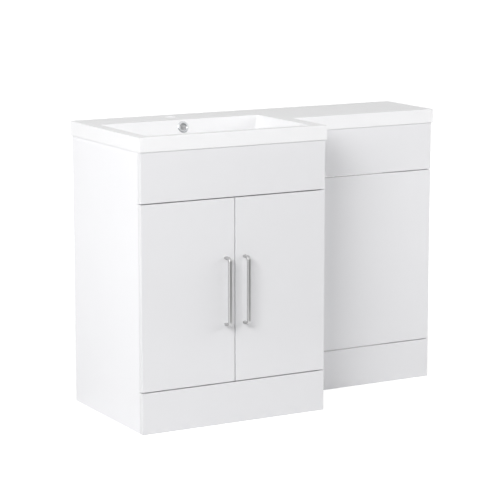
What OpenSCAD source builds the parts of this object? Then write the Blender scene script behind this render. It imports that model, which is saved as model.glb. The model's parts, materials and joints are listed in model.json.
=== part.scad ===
// Toilet and basin combination unit: a two-door basin cabinet joined to a shallower
// cabinet that hides a cistern, both under one L-shaped basin top.
// x runs along the front, y runs from the fronts to the wall, z is up from the floor.

/* [Overall] */
// Length of the basin top over both cabinets
top_len = 1100; // [940:10:1400]
// Length of the deep part of the top, over the basin cabinet
basin_len = 600; // [480:10:800]
// Height of the top's surface above the floor
overall_h = 840; // [700:5:1010]
// Depth of the basin cabinet, from its door fronts to the wall
basin_depth = 450; // [400:5:560]
// Depth of the cistern cabinet, from its panel front to the wall
cistern_depth = 250; // [180:5:300]

/* [Fronts] */
// Height of the plinth boards
plinth_h = 119; // [90:1:160]
// Height of the boards under the basin top
fascia_h = 143; // [125:1:200]
// Gap between neighbouring fronts
front_gap = 3; // [2:0.5:5]
// Thickness of doors, fascias, plinths and access panel
front_t = 16; // [15:1:19]
// Gap between the fronts and the cabinet edges behind them
back_gap = 2; // [1.5:0.5:4]
// Radius on the front edges of the fronts
edge_r = 1.2; // [0.5:0.1:2]

/* [Cabinets] */
// Board thickness of gables, base, shelf and rails
board = 16; // [15:1:19]
// Height of the rails at the top and bottom of the back
back_rail_h = 96; // [80:1:120]
// Height of the rail between the basin cabinet's gables, behind the fascia
front_rail_h = 76; // [60:1:80]
// Distance of the shelf behind the cabinet's front edges
shelf_setback = 60; // [20:5:120]

/* [Basin top] */
// Height of the top's outer edge
top_edge = 42; // [36:1:60]
// Thickness of the deck inside the edge
deck_t = 18; // [14:1:24]
// Overhang past the gables at each free end
overhang = 5; // [2:1:12]
// Distance that the top stands forward of the fronts
front_proud = 4; // [0:1:12]
// Radius on the top's upper edges
top_r = 3; // [2:0.5:8]
// Flat ledge in front of the bowl
ledge_front = 28; // [24:1:60]
// Flat ledge behind the bowl
ledge_back = 130; // [110:1:180]
// Flat ledge left of the bowl
ledge_left = 35; // [24:1:80]
// Flat ledge right of the bowl
ledge_right = 43; // [24:1:80]
// Depth of the bowl below the deck
bowl_depth = 115; // [90:1:140]
// Wall thickness of the bowl
bowl_wall = 10; // [8:1:12]
// Radius of the bowl's upright corners at the rim
bowl_corner_r = 12; // [8:1:60]
// Radius between the bowl's walls and its floor
bowl_floor_r = 25; // [15:1:35]
// Distance that each bowl wall leans in on its way down
bowl_lean = 18; // [5:1:30]

/* [Tap hole and waste] */
// Diameter of the tap hole
tap_d = 35; // [28:1:38]
// Distance of the tap hole's centre from the wall
tap_back = 55; // [45:1:75]
// Diameter of the overflow ring
overflow_ring_d = 35; // [30:1:40]
// Diameter of the overflow hole
overflow_d = 21; // [14:1:24]
// Distance of the overflow's centre below the rim, along the wall
overflow_drop = 22; // [20:1:35]
// Distance of the waste's centre in front of the bowl's back edge
waste_back = 110; // [90:1:130]
// Diameter of the waste flange
waste_flange_d = 63; // [60:1:70]
// Outer diameter of the waste's threaded tail
waste_tail_d = 41.9; // [41.9:0.1:42.2]
// Length of the waste's tail below the bowl floor
waste_tail_len = 85; // [75:1:110]

/* [Handles] */
// Distance between the handle's two screws
handle_cc = 192; // [96:32:320]
// Distance that the handle stands out from the door
handle_proj = 30; // [24:1:40]
// Width of the handle bar
handle_w = 10; // [8:0.5:14]
// Thickness of the handle bar
handle_t = 8; // [6:0.5:10]
// Radius of the handle's outer corners
handle_r = 14; // [10:1:20]
// Distance of the handle's centre from the door's free edge
handle_inset = 28.5; // [20:0.5:60]

/* [Hinges] */
// Diameter of the hinge cup
cup_d = 35; // [35:0.1:35.2]
// Depth of the hinge cup
cup_depth = 11.5; // [11:0.1:12]
// Distance of each hinge from the end of its door
hinge_inset = 100; // [80:5:140]

/* [Hidden] */
$fn = 64;
eps = 0.01;
hull_fn = 36;
run_fit = 0.05;

// main planes
x_left = -top_len / 2;
x_right = top_len / 2;
x_step = x_left + basin_len;
bc_x0 = x_left + overhang;
bc_x1 = x_step - overhang;
cc_x0 = bc_x1;
cc_x1 = x_right - overhang;
cab_h = overall_h - top_edge;
cc_y = basin_depth - cistern_depth;
door_z0 = plinth_h + front_gap;
door_z1 = cab_h - fascia_h - front_gap;
door_h = door_z1 - door_z0;
door_w = (bc_x1 - bc_x0 - front_gap) / 2;
door_mid = (door_z0 + door_z1) / 2;
carc_y = front_t + back_gap;
origin_y = -(basin_depth - handle_proj) / 2;

// bowl
bowl_x0 = x_left + ledge_left;
bowl_x1 = x_step - ledge_right;
bowl_y0 = -front_proud + ledge_front;
bowl_y1 = basin_depth - ledge_back;
bowl_floor = overall_h - bowl_depth;
wall_tilt = atan((bowl_lean + bowl_floor_r) / (bowl_depth - bowl_floor_r))
    - asin(bowl_floor_r / norm([bowl_lean + bowl_floor_r, bowl_depth - bowl_floor_r]));

// boards of the two cabinets; the front rail passes just under the bowl
base_z = plinth_h;
shelf_z = door_mid - board / 2;
under_bowl_gap = 3;
front_rail_z = bowl_floor - bowl_wall - under_bowl_gap - front_rail_h;
panel_side_gap = 1.5;

// waste and overflow channel, on the basin's centre line
mid_x = (x_left + x_step) / 2;
waste_y = bowl_y1 - waste_back;
waste_bore_d = waste_tail_d + 3;
waste_recess = 3;
boss_h = 28;
boss_rim = 1.5;
recess_play = 2;
waste_under = bowl_floor - boss_h;
channel_w = 28;
channel_t = 9;
channel_wall = 6;
channel_y = bowl_y1 + 5;
run_drop = 22;
run_h = 8;
seal_t = 1.5;
flange_t = 2;
flange_z = bowl_floor - waste_recess + seal_t;
nut_h = 10;
nut_seal_t = 3;
relief_w = 1.5;
tail_end_top = waste_under - nut_seal_t - nut_h - 1 - relief_w;
plug_d = 44;
plug_t = 4;
stem_d = 8;
guide_z = bowl_floor - 40;
guide_t = 6;
slot_w = 20;
ring_wall = 0.9;
ring_sleeve = 4;
ring_lip = 2;
ring_seat = 0.2;
overflow_hole_d = overflow_d + 2 * ring_wall + 4 * run_fit;

// hinge pivots seen from above: first number in from the door's edge, second back
// from the door's inner face. The link ends on the door are the last two.
arm_short = [31.5, 3.9];
arm_long = [46.5, 3.7];
door_short = [11.3, -4.4];
door_long = [14.8, -2.6];
short_bow = 15;
long_bow = -2;
cup_in = 22.5;
cup_wall = 1.15;
ear_t = 1.2;
ear_w = 12;
ear_h = 16;
pin_r = 1;
arm_pin_r = 1.5;
open_pivot_play = 1.25;
short_half = 2.2;
cheek_in = 2.4;
cheek_out = 3.8;
long_in = 4;
long_out = 5.2;
ear_z = 22.5;
ear_u = 31;
plate_v = 39;
plate_t = 3;
plate_hole = 16;
plate_wing = 10;
plate_rise = 2.4;
arm_w = 14;
arm_t = 9;
stub_z = 15.2;
hinge_z = [door_z0 + hinge_inset, door_z1 - hinge_inset];

// fixings
cam_r = 7.4;
cam_len = 12;
cam_in = 34;
bolt_r = 3;
bolt_gable = 11;
peg_r = 2.5;
wood_r = 4;
wood_len = 34;
wood_gable = 12;
wall_hole_r = 3.25;
wall_hole_in = 60;
clip_stud_r = 4;
screw_r = 1.9;
head_r = 3.8;
head_t = 1.5;
packer_r = 9;
fixing_in = 60;
peg_len = 9;
screw_bite = 11;
connector_head = 2;
socket_in = 2;
block = 20;
block_h = 40;
connector_r = 4;

front_white = "white";
carcass_white = "whitesmoke";
basin_white = "snow";
steel = "silver";
dark_steel = "gray";

// ---------- shared helpers ----------

// Moves a piece from the door-front plane to the part's own origin
module piece(paint) color(paint) translate([0, origin_y, 0]) children();

// Waste around a round-over of radius r, along an edge that runs in x and faces -y, -z
module edge_cut(len, r) {
    difference() {
        translate([-1, -1, -1]) cube([len + 2, r + 1, r + 1]);
        translate([-2, r, r]) rotate([0, 90, 0]) cylinder(r = r, h = len + 4);
    }
}

// Front board with its four front edges rounded, corner at the origin
module front_board(w, h) {
    difference() {
        cube([w, front_t, h]);
        edge_cut(w, edge_r);
        translate([0, 0, h]) mirror([0, 0, 1]) edge_cut(w, edge_r);
        mirror([1, 0, 0]) rotate([0, -90, 0]) edge_cut(h, edge_r);
        translate([w, 0, 0]) rotate([0, -90, 0]) edge_cut(h, edge_r);
    }
}

module rod_x(r, len) rotate([0, 90, 0]) cylinder(r = r, h = len);
module rod_y(r, len) rotate([-90, 0, 0]) cylinder(r = r, h = len);

// Screw with its head's underside at the origin, pointing along +z
module screw(len, r = screw_r) {
    cylinder(r = r, h = len);
    translate([0, 0, -head_t]) cylinder(r = head_r, h = head_t);
}

// ---------- joints between boards and gables ----------

// Each entry: gable face x, direction into the board, y, z, and true for a lying board
function ends(x0, x1, y, z, lying) = [[x0 + board, 1, y, z, lying], [x1 - board, -1, y, z, lying]];

base_cams = [for (y = [carc_y + fixing_in, basin_depth - fixing_in]) each
    ends(bc_x0, bc_x1, y, base_z + board / 2, true)];
basin_front_cams = ends(bc_x0, bc_x1, carc_y + board / 2, front_rail_z + front_rail_h * 0.3, false);
basin_top_cams = ends(bc_x0, bc_x1, basin_depth - board / 2, cab_h - back_rail_h * 0.3, false);
basin_low_cams = ends(bc_x0, bc_x1, basin_depth - board / 2, back_rail_h * 0.7, false);
cistern_front_cams = ends(cc_x0, cc_x1, cc_y + carc_y + board / 2, cab_h - back_rail_h * 0.3, false);
cistern_top_cams = ends(cc_x0, cc_x1, basin_depth - board / 2, cab_h - back_rail_h * 0.3, false);
cistern_low_cams = ends(cc_x0, cc_x1, basin_depth - board / 2, back_rail_h * 0.7, false);
rail_cams = concat(basin_front_cams, basin_top_cams, basin_low_cams, cistern_front_cams,
    cistern_top_cams, cistern_low_cams);
all_cams = concat(base_cams, rail_cams);
dowel_drop = 32;

module cam_space(j, grow = 0) {
    translate([j[0] + j[1] * cam_in, j[2], j[3]])
        if (j[4]) translate([0, 0, -board / 2 - eps]) cylinder(r = cam_r + grow, h = cam_len + eps);
        else translate([0, -facing(j) * (board / 2 + eps), 0])
            rotate([-90 * facing(j), 0, 0]) cylinder(r = cam_r + grow, h = cam_len + eps);
}

// Standing rails show their cams to the inside: the front rails backwards, the back rails forwards
function facing(j) = j[2] > basin_depth / 2 && j[2] > basin_depth - board ? 1 : -1;

module bolt_space(j, grow = 0) {
    translate([j[0] - (j[1] > 0 ? bolt_gable : cam_in), j[2], j[3]])
        rod_x(bolt_r + grow, bolt_gable + cam_in);
}

module wood_space(j, grow = 0) {
    translate([j[0] - (j[1] > 0 ? wood_gable : wood_len - wood_gable), j[2], j[3] - dowel_drop])
        rod_x(wood_r + grow, wood_len);
}

// Bores of a board's own joints
module joint_bores(joints) {
    for (j = joints) {
        cam_space(j, run_fit);
        bolt_space(j, run_fit);
        if (!j[4]) wood_space(j, run_fit);
    }
}

module cam_discs() piece(steel) for (j = all_cams) difference() {
    cam_space(j);
    bolt_space(j, run_fit);
}

module cam_bolts() piece(dark_steel) for (j = all_cams) bolt_space(j);
module wood_dowels() piece("burlywood") for (j = rail_cams) wood_space(j);

// ---------- basin top ----------

module top_outline() {
    polygon([[x_left, -front_proud], [x_step, -front_proud], [x_step, cc_y - front_proud],
        [x_right, cc_y - front_proud], [x_right, basin_depth], [x_left, basin_depth]]);
}

// Round-overs on the upper edges that show, with a quarter turn in the inner corner
module top_edge_cuts() {
    translate([0, 0, overall_h]) mirror([0, 0, 1]) {
        translate([x_left, -front_proud, 0]) edge_cut(basin_len, top_r);
        translate([x_step, cc_y - front_proud, 0]) edge_cut(x_right - x_step, top_r);
        translate([x_left, -front_proud, 0]) mirror([1, -1, 0])
            edge_cut(basin_depth + front_proud, top_r);
        translate([x_right, cc_y - front_proud, 0]) rotate([0, 0, 90])
            edge_cut(cistern_depth + front_proud, top_r);
        intersection() {
            translate([x_step, -front_proud, 0]) rotate([0, 0, 90]) edge_cut(cc_y, top_r);
            translate([x_step - 50, -front_proud - 2, -2]) cube([52, cc_y + 2, 50]);
        }
    }
}

// Bowl as a rounded tub, grown by the given wall
module bowl_form(grow, top_z) {
    top_in = bowl_corner_r;
    low_in = bowl_lean + bowl_floor_r;
    hull() {
        for (x = [bowl_x0 + top_in, bowl_x1 - top_in], y = [bowl_y0 + top_in, bowl_y1 - top_in])
            translate([x, y, top_z]) cylinder(r = bowl_corner_r + grow, h = 1, $fn = hull_fn);
        for (x = [bowl_x0 + low_in, bowl_x1 - low_in], y = [bowl_y0 + low_in, bowl_y1 - low_in])
            translate([x, y, bowl_floor + bowl_floor_r]) sphere(r = bowl_floor_r + grow, $fn = hull_fn);
    }
}

// Overflow's frame: z points out of the bowl's back wall into the bowl
module at_overflow() {
    translate([mid_x, bowl_y1 - overflow_drop * sin(wall_tilt), overall_h - overflow_drop * cos(wall_tilt)])
        rotate([90 - wall_tilt, 0, 0]) children();
}

// Passage behind and under the bowl, from the overflow to the waste
module channel(grow) {
    w = channel_w + 2 * grow;
    low = bowl_floor - run_drop;
    high = overall_h - deck_t - channel_wall;
    translate([mid_x - w / 2, channel_y - grow, low - grow])
        cube([w, channel_t + 2 * grow, high - low + 2 * grow]);
    translate([mid_x - w / 2, waste_y, low - grow])
        cube([w, channel_y + channel_t + grow - waste_y, run_h + 2 * grow]);
}

module basin_slab() {
    inner = board + overhang;
    difference() {
        translate([0, 0, cab_h]) linear_extrude(top_edge) top_outline();
        translate([x_left + inner, carc_y, cab_h - 1])
            cube([basin_len - 2 * inner, basin_depth - board - carc_y, top_edge - deck_t + 1]);
        translate([cc_x0 + board, cc_y + carc_y + board, cab_h - 1])
            cube([cc_x1 - cc_x0 - 2 * board, cistern_depth - carc_y - 2 * board, top_edge - deck_t + 1]);
        top_edge_cuts();
    }
}

module basin_top() piece(basin_white) difference() {
    union() {
        basin_slab();
        bowl_form(bowl_wall, overall_h - deck_t);
        channel(channel_wall);
        translate([mid_x, waste_y, waste_under])
            cylinder(d = waste_flange_d + 2 * boss_rim, h = boss_h - waste_recess);
    }
    bowl_form(0, overall_h);
    channel(0);
    at_overflow() translate([0, 0, -bowl_wall - channel_t / 2])
        cylinder(d = overflow_hole_d, h = 2 * bowl_wall + channel_t / 2);
    translate([mid_x, waste_y, waste_under - 1]) cylinder(d = waste_bore_d, h = 60);
    translate([mid_x, waste_y, bowl_floor - waste_recess]) cylinder(d = waste_flange_d + recess_play, h = 20);
    translate([mid_x, basin_depth - tap_back, cab_h]) cylinder(d = tap_d, h = top_edge + 1);
}

module overflow_ring() piece(steel) at_overflow() difference() {
    union() {
        translate([0, 0, ring_seat]) cylinder(d = overflow_ring_d, h = ring_lip);
        translate([0, 0, -ring_sleeve]) cylinder(d = overflow_d + 2 * ring_wall, h = ring_sleeve + 1);
    }
    translate([0, 0, -ring_sleeve - 1]) cylinder(d = overflow_d, h = ring_sleeve + ring_lip + 2);
}

// ---------- waste ----------

module at_waste(z) translate([mid_x, waste_y, z]) children();

module waste_body() piece(steel) difference() {
    bore_d = waste_tail_d - 6;
    slot_z = bowl_floor - run_drop;
    tail_z = bowl_floor - waste_tail_len;
    union() {
        difference() {
            union() {
                at_waste(flange_z) cylinder(d = waste_flange_d, h = flange_t);
                at_waste(tail_z) cylinder(d = waste_tail_d, h = flange_z - tail_z + 1);
            }
            at_waste(tail_z - 1) cylinder(d = bore_d, h = waste_tail_len + 20);
        }
        at_waste(guide_z) translate([-bore_d / 2 - 1, -guide_t / 2, 0]) cube([bore_d + 2, guide_t, guide_t]);
        at_waste(guide_z) cylinder(r = stem_d / 2 + 3, h = guide_t);
    }
    at_waste(guide_z - 1) cylinder(r = stem_d / 2 + run_fit, h = guide_t + 2);
    at_waste(tail_end_top) difference() {
        cylinder(d = waste_tail_d + 2, h = relief_w);
        translate([0, 0, -1]) cylinder(d = waste_tail_d - 2, h = relief_w + 2);
    }
    at_waste(slot_z) translate([-slot_w / 2, 0, 0]) cube([slot_w, waste_tail_d, run_h]);
}

module waste_seal() piece("dimgray") at_waste(bowl_floor - waste_recess) difference() {
    cylinder(d = waste_flange_d - 1, h = seal_t);
    translate([0, 0, -1]) cylinder(d = waste_bore_d, h = seal_t + 2);
}

module waste_lower_seal() piece("dimgray") at_waste(waste_under - nut_seal_t) difference() {
    cylinder(d = waste_flange_d - 3, h = nut_seal_t);
    translate([0, 0, -1]) cylinder(d = waste_tail_d + 2 * run_fit, h = nut_seal_t + 2);
}

module waste_nut() piece(steel) at_waste(waste_under - nut_seal_t - nut_h) difference() {
    cylinder(d = waste_flange_d, h = nut_h, $fn = 6);
    translate([0, 0, -1]) cylinder(d = waste_tail_d + 2 * run_fit, h = nut_h + 2);
}

module waste_plug() piece(steel) {
    seat = flange_z + flange_t;
    at_waste(seat) cylinder(d = plug_d, h = plug_t - 1);
    at_waste(seat + plug_t - 1) cylinder(d1 = plug_d, d2 = plug_d - 4, h = 1);
    at_waste(guide_z - 4) cylinder(d = stem_d, h = seat - guide_z + 5);
}

// ---------- gables, base, shelf and rails ----------

// Screw bores and hinge plate bores in a gable's inner face
module plate_bores(side) {
    at_hinges(side) for (s = [-1, 1]) translate([board - 12, plate_v, s * plate_hole])
        rod_x(screw_r + run_fit, 13);
}

module peg_spots() {
    for (y = [carc_y + shelf_setback + 40, basin_depth - board - fixing_in]) {
        translate([bc_x0 + board, y, shelf_z - peg_r]) rod_x(peg_r, peg_len);
        translate([bc_x0 + board - peg_len, y, shelf_z - peg_r]) rod_x(peg_r, peg_len);
        translate([bc_x1 - board - peg_len, y, shelf_z - peg_r]) rod_x(peg_r, peg_len);
        translate([bc_x1 - board, y, shelf_z - peg_r]) rod_x(peg_r, peg_len);
    }
}

// Bores for the two cabinets' connecting screws
module connector_spots(r, head) {
    for (y = [cc_y + carc_y + fixing_in, basin_depth - fixing_in],
        z = [door_z0 + fixing_in, cab_h - fascia_h - 20])
        translate([bc_x1 - board, y, z]) {
            rod_x(r, 2 * board);
            if (head) for (x = [-connector_head, 2 * board]) translate([x, 0, 0]) rod_x(r + 3, connector_head);
        }
}

module basin_gable(x0, side) difference() {
    translate([x0, carc_y, 0]) cube([board, basin_depth - carc_y, cab_h]);
    joint_bores(concat(base_cams, basin_front_cams, basin_top_cams, basin_low_cams));
    plate_bores(side);
    peg_spots();
    connector_spots(connector_r + run_fit, false);
    block_screw_spots(screw_r + run_fit);
}

module basin_left_gable() piece(carcass_white) basin_gable(bc_x0, -1);
module basin_right_gable() piece(carcass_white) basin_gable(bc_x1 - board, 1);

module basin_base() piece(carcass_white) difference() {
    translate([bc_x0 + board, carc_y, base_z])
        cube([bc_x1 - bc_x0 - 2 * board, basin_depth - carc_y, board]);
    joint_bores(base_cams);
}

// Standing rail between two gables
module rail(x0, x1, y, z, h, joints) difference() {
    translate([x0 + board, y, z]) cube([x1 - x0 - 2 * board, board, h]);
    joint_bores(joints);
}

// Wall screw holes through a back rail
module wall_holes(x0, x1, z) {
    for (x = [x0 + board + wall_hole_in, x1 - board - wall_hole_in])
        translate([x, basin_depth - board - 1, z]) rod_y(wall_hole_r, board + 2);
}

top_hole_z = cab_h - back_rail_h / 2;
low_hole_z = back_rail_h / 2;
top_rail_z = cab_h - back_rail_h;
back_y = basin_depth - board;

module basin_front_rail() piece(carcass_white) difference() {
    rail(bc_x0, bc_x1, carc_y, front_rail_z, front_rail_h, basin_front_cams);
    fascia_screw_spots(screw_r + run_fit);
}

module basin_back_rail_top() piece(carcass_white) difference() {
    rail(bc_x0, bc_x1, back_y, top_rail_z, back_rail_h, basin_top_cams);
    wall_holes(bc_x0, bc_x1, top_hole_z);
}

module basin_back_rail_bottom() piece(carcass_white) difference() {
    rail(bc_x0, bc_x1, back_y, 0, back_rail_h, basin_low_cams);
    wall_holes(bc_x0, bc_x1, low_hole_z);
}

module shelf() piece(carcass_white) translate([bc_x0 + board + 1, carc_y + shelf_setback, shelf_z])
    cube([bc_x1 - bc_x0 - 2 * board - 2, basin_depth - carc_y - shelf_setback - 30, board]);

module shelf_pegs() piece(steel) peg_spots();

module cistern_gable(x0) difference() {
    translate([x0, cc_y + carc_y, 0]) cube([board, cistern_depth - carc_y, cab_h]);
    joint_bores(concat(cistern_front_cams, cistern_top_cams, cistern_low_cams));
    connector_spots(connector_r + run_fit, false);
    block_screw_spots(screw_r + run_fit);
    socket_screw_spots(screw_r + run_fit);
}

module cistern_left_gable() piece(carcass_white) cistern_gable(cc_x0);
module cistern_right_gable() piece(carcass_white) cistern_gable(cc_x1 - board);

module cistern_front_rail() piece(carcass_white) difference() {
    rail(cc_x0, cc_x1, cc_y + carc_y, top_rail_z, back_rail_h, cistern_front_cams);
    fascia_screw_spots(screw_r + run_fit);
}

module cistern_back_rail_top() piece(carcass_white) difference() {
    rail(cc_x0, cc_x1, back_y, top_rail_z, back_rail_h, cistern_top_cams);
    wall_holes(cc_x0, cc_x1, top_hole_z);
}

module cistern_back_rail_bottom() piece(carcass_white) difference() {
    rail(cc_x0, cc_x1, back_y, 0, back_rail_h, cistern_low_cams);
    wall_holes(cc_x0, cc_x1, low_hole_z);
}

module cabinet_connectors() piece(steel) connector_spots(connector_r, true);

// ---------- fixed fronts ----------

// Fascia screws: x, y of the rail's rear face, z
fascia_shares = [0.15, 0.5, 0.85];
basin_screw_z = front_rail_z + front_rail_h - 20;
cistern_screw_z = cab_h - back_rail_h / 2;
fascia_screws = concat(
    [for (k = fascia_shares) [bc_x0 + k * (bc_x1 - bc_x0), carc_y + board, basin_screw_z]],
    [for (k = fascia_shares) [cc_x0 + k * (cc_x1 - cc_x0), cc_y + carc_y + board, cistern_screw_z]]);
fascia_screw_len = board + back_gap + screw_bite;

module fascia_screw_spots(r) for (p = fascia_screws) translate([p[0], p[1] - fascia_screw_len, p[2]])
    rod_y(r, fascia_screw_len + 1);

module front_screws() piece(dark_steel) for (p = fascia_screws)
    translate(p) rotate([90, 0, 0]) screw(fascia_screw_len);

module front_packers() piece("lightgray") for (p = fascia_screws)
    translate([p[0], p[1] - board - back_gap, p[2]]) difference() {
        rod_y(packer_r, back_gap);
        translate([0, -1, 0]) rod_y(screw_r + run_fit, back_gap + 2);
    }

module basin_fascia() piece(front_white) difference() {
    translate([bc_x0, 0, cab_h - fascia_h]) front_board(bc_x1 - bc_x0, fascia_h);
    fascia_screw_spots(screw_r + run_fit);
}

module cistern_fascia() piece(front_white) difference() {
    translate([cc_x0 + panel_side_gap, cc_y, cab_h - fascia_h])
        front_board(cc_x1 - cc_x0 - panel_side_gap, fascia_h);
    fascia_screw_spots(screw_r + run_fit);
}

// Plinth blocks: corner x, direction inwards, y of the plinth's rear face
plinth_blocks_at = [[bc_x0 + board, 1, front_t], [bc_x1 - board, -1, front_t],
    [cc_x0 + board, 1, cc_y + front_t], [cc_x1 - board, -1, cc_y + front_t]];
block_z = (plinth_h - block_h) / 2;

// Each block's two screws: one into the gable, one into the plinth
module block_screws_form(r, heads) for (b = plinth_blocks_at) {
    translate([b[0], b[2], block_z]) {
        translate([b[1] * block, block / 2 + 4, block_h * 0.25]) rotate([0, -90 * b[1], 0])
            if (heads) screw(block + screw_bite, r); else cylinder(r = r, h = block + screw_bite);
        translate([b[1] * block / 2, block, block_h * 0.75]) rotate([90, 0, 0])
            if (heads) screw(block + screw_bite, r); else cylinder(r = r, h = block + screw_bite);
    }
}

module block_screw_spots(r) block_screws_form(r, false);
module block_screws() piece(dark_steel) block_screws_form(screw_r, true);

module plinth_blocks() piece("gainsboro") difference() {
    for (b = plinth_blocks_at)
        translate([b[1] > 0 ? b[0] : b[0] - block, b[2], block_z]) cube([block, block, block_h]);
    block_screw_spots(screw_r + run_fit);
}

module basin_plinth() piece(front_white) difference() {
    translate([bc_x0, 0, 0]) front_board(bc_x1 - bc_x0, plinth_h);
    block_screw_spots(screw_r + run_fit);
}

module cistern_plinth() piece(front_white) difference() {
    translate([cc_x0 + panel_side_gap, cc_y, 0]) front_board(cc_x1 - cc_x0 - panel_side_gap, plinth_h);
    block_screw_spots(screw_r + run_fit);
}

// ---------- access panel on push-in studs ----------

socket_w = 22;
socket_d = 24;
socket_h = 24;
stud_len = 16;
socket_spots = [for (x = [cc_x0 + board, cc_x1 - board - socket_w], z = [door_z0 + fixing_in, door_z1 - fixing_in])
    [x, cc_y + carc_y + socket_in, z]];

module socket_screw_spots(r) for (p = socket_spots) {
    into_left = p[0] < (cc_x0 + cc_x1) / 2;
    translate([into_left ? p[0] - screw_bite : p[0], p[1] + socket_d - 5, p[2]])
        rod_x(r, socket_w + screw_bite);
}

module panel_sockets() piece("gainsboro") difference() {
    for (p = socket_spots) translate([p[0], p[1], p[2] - socket_h / 2])
        cube([socket_w, socket_d, socket_h]);
    for (p = socket_spots) translate([p[0] + socket_w / 2, p[1] - 1, p[2]])
        rod_y(clip_stud_r + run_fit, stud_len);
    socket_screw_spots(screw_r + run_fit);
}

module panel_socket_screws() piece(dark_steel) for (p = socket_spots) {
    into_left = p[0] < (cc_x0 + cc_x1) / 2;
    translate([into_left ? p[0] + socket_w : p[0], p[1] + socket_d - 5, p[2]])
        rotate([0, into_left ? -90 : 90, 0]) screw(socket_w + screw_bite);
}

// Studs stand on the panel's rear face and reach into the sockets
module panel_studs() piece("gainsboro") for (p = socket_spots)
    translate([p[0] + socket_w / 2, cc_y + front_t, p[2]]) {
        rod_y(clip_stud_r, stud_len);
        rod_y(clip_stud_r + 5, 2);
    }

module access_panel() piece(front_white) translate([cc_x0 + panel_side_gap, cc_y, door_z0])
    front_board(cc_x1 - cc_x0 - panel_side_gap, door_h);

// ---------- doors and handles ----------

// Hinge frame at each hinge of a side: x in from the door's edge, y back from its inner face
module at_hinges(side) {
    for (z = hinge_z) translate([side < 0 ? bc_x0 : bc_x1, front_t, z])
        mirror([side < 0 ? 0 : 1, 0, 0]) children();
}

function handle_x(side) = (bc_x0 + bc_x1) / 2 + side * (handle_inset + front_gap / 2);

module handle_screw_spots(side, r) for (s = [-1, 1])
    translate([handle_x(side), -handle_proj / 2, door_mid + s * handle_cc / 2])
        rod_y(r, handle_proj / 2 + front_t + 1);

module door(side) difference() {
    translate([side < 0 ? bc_x0 : bc_x1 - door_w, 0, door_z0]) front_board(door_w, door_h);
    at_hinges(side) translate([cup_in, -cup_depth - 0.1, 0]) rod_y(cup_d / 2, cup_depth + 1);
    cup_screw_spots(side, screw_r + run_fit);
    handle_screw_spots(side, 2 + 0.25);
}

module left_door() piece(front_white) door(-1);
module right_door() piece(front_white) door(1);

// Bar bent at both ends, cut flat on the door
module handle(side) {
    half = handle_cc / 2;
    in_r = handle_r - handle_t;
    difference() {
        translate([handle_x(side) - handle_w / 2, 0, door_mid]) rotate([90, 0, 90])
            linear_extrude(handle_w) difference() {
                bar_outline(half + handle_t / 2, handle_proj, handle_r);
                bar_outline(half - handle_t / 2, handle_proj - handle_t, in_r);
            }
        handle_screw_spots(side, 2);
    }
}

// Half of a rounded rectangle that stands on the door plane
module bar_outline(half, proj, r) {
    difference() {
        union() {
            translate([-proj, -half + r]) square([proj, 2 * (half - r)]);
            translate([-proj + r, -half]) square([proj - r, 2 * half]);
            for (s = [-1, 1]) translate([-proj + r, s * (half - r)]) circle(r = r);
        }
        translate([0, -half - 1]) square([proj, 2 * half + 2]);
    }
}

module left_handle() piece(steel) handle(-1);
module right_handle() piece(steel) handle(1);

module handle_screws(side) for (s = [-1, 1])
    translate([handle_x(side), front_t, door_mid + s * handle_cc / 2]) rotate([90, 0, 0])
        screw(front_t + 10, 2);

module left_handle_screws() piece(dark_steel) handle_screws(-1);
module right_handle_screws() piece(dark_steel) handle_screws(1);

// Soft dots that hold the door off the cabinet's edges at its free corners
module door_buffers(side) for (z = [door_z0 + 6, door_z1 - 6])
    translate([(bc_x0 + bc_x1) / 2 + side * (front_gap / 2 + 12), front_t, z]) rod_y(4, back_gap - 0.3);

module left_door_buffers() piece("lightgray") door_buffers(-1);
module right_door_buffers() piece("lightgray") door_buffers(1);

// ---------- hinges ----------

// Flat plate shape that lies across z, from z0 to z1, mirrored to the other side of the hinge
module layer_pair(z0, z1) for (s = [0, 1]) mirror([0, 0, s])
    translate([0, 0, z0]) linear_extrude(z1 - z0) children();

module at_point(p) translate([p[0], p[1]]) children();

// Point on the bowed middle line of a link, and the line's direction there
function bow_mid(a, b, bow) = (a + b) / 2 + bow * [a[1] - b[1], b[0] - a[0]] / norm(b - a);
function bow_at(a, m, b, s) = (1 - s) * (1 - s) * a + 2 * s * (1 - s) * m + s * s * b;
function bow_side(a, m, b, s) =
    let (d = (1 - s) * (m - a) + s * (b - m)) [-d[1], d[0]] / norm(d);
bow_steps = 12;

// Link outline between two pivots: a bowed strip with a round eye at each end
module link_outline(a, b, bow, half_w, eye_a, eye_b, hole_a, hole_b) {
    m = bow_mid(a, b, bow);
    steps = [for (i = [0 : bow_steps]) i / bow_steps];
    back = [for (i = [bow_steps : -1 : 0]) i / bow_steps];
    difference() {
        union() {
            polygon(concat([for (s = steps) bow_at(a, m, b, s) + half_w * bow_side(a, m, b, s)],
                [for (s = back) bow_at(a, m, b, s) - half_w * bow_side(a, m, b, s)]));
            at_point(a) circle(r = eye_a);
            at_point(b) circle(r = eye_b);
        }
        at_point(a) circle(r = hole_a);
        at_point(b) circle(r = hole_b);
    }
}

module short_links(side) at_hinges(side) translate([0, 0, -short_half])
    linear_extrude(2 * short_half) link_outline(arm_short, door_short, short_bow, 1.7,
        2.7, 2.2, arm_pin_r + run_fit, pin_r + run_fit);

module long_links(side) at_hinges(side) layer_pair(long_in, long_out)
    link_outline(arm_long, door_long, long_bow, 1.9, 2.8, 3.3, arm_pin_r + run_fit,
        pin_r + open_pivot_play);

module left_short_links() piece(steel) short_links(-1);
module right_short_links() piece(steel) short_links(1);
module left_long_links() piece(steel) long_links(-1);
module right_long_links() piece(steel) long_links(1);

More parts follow.
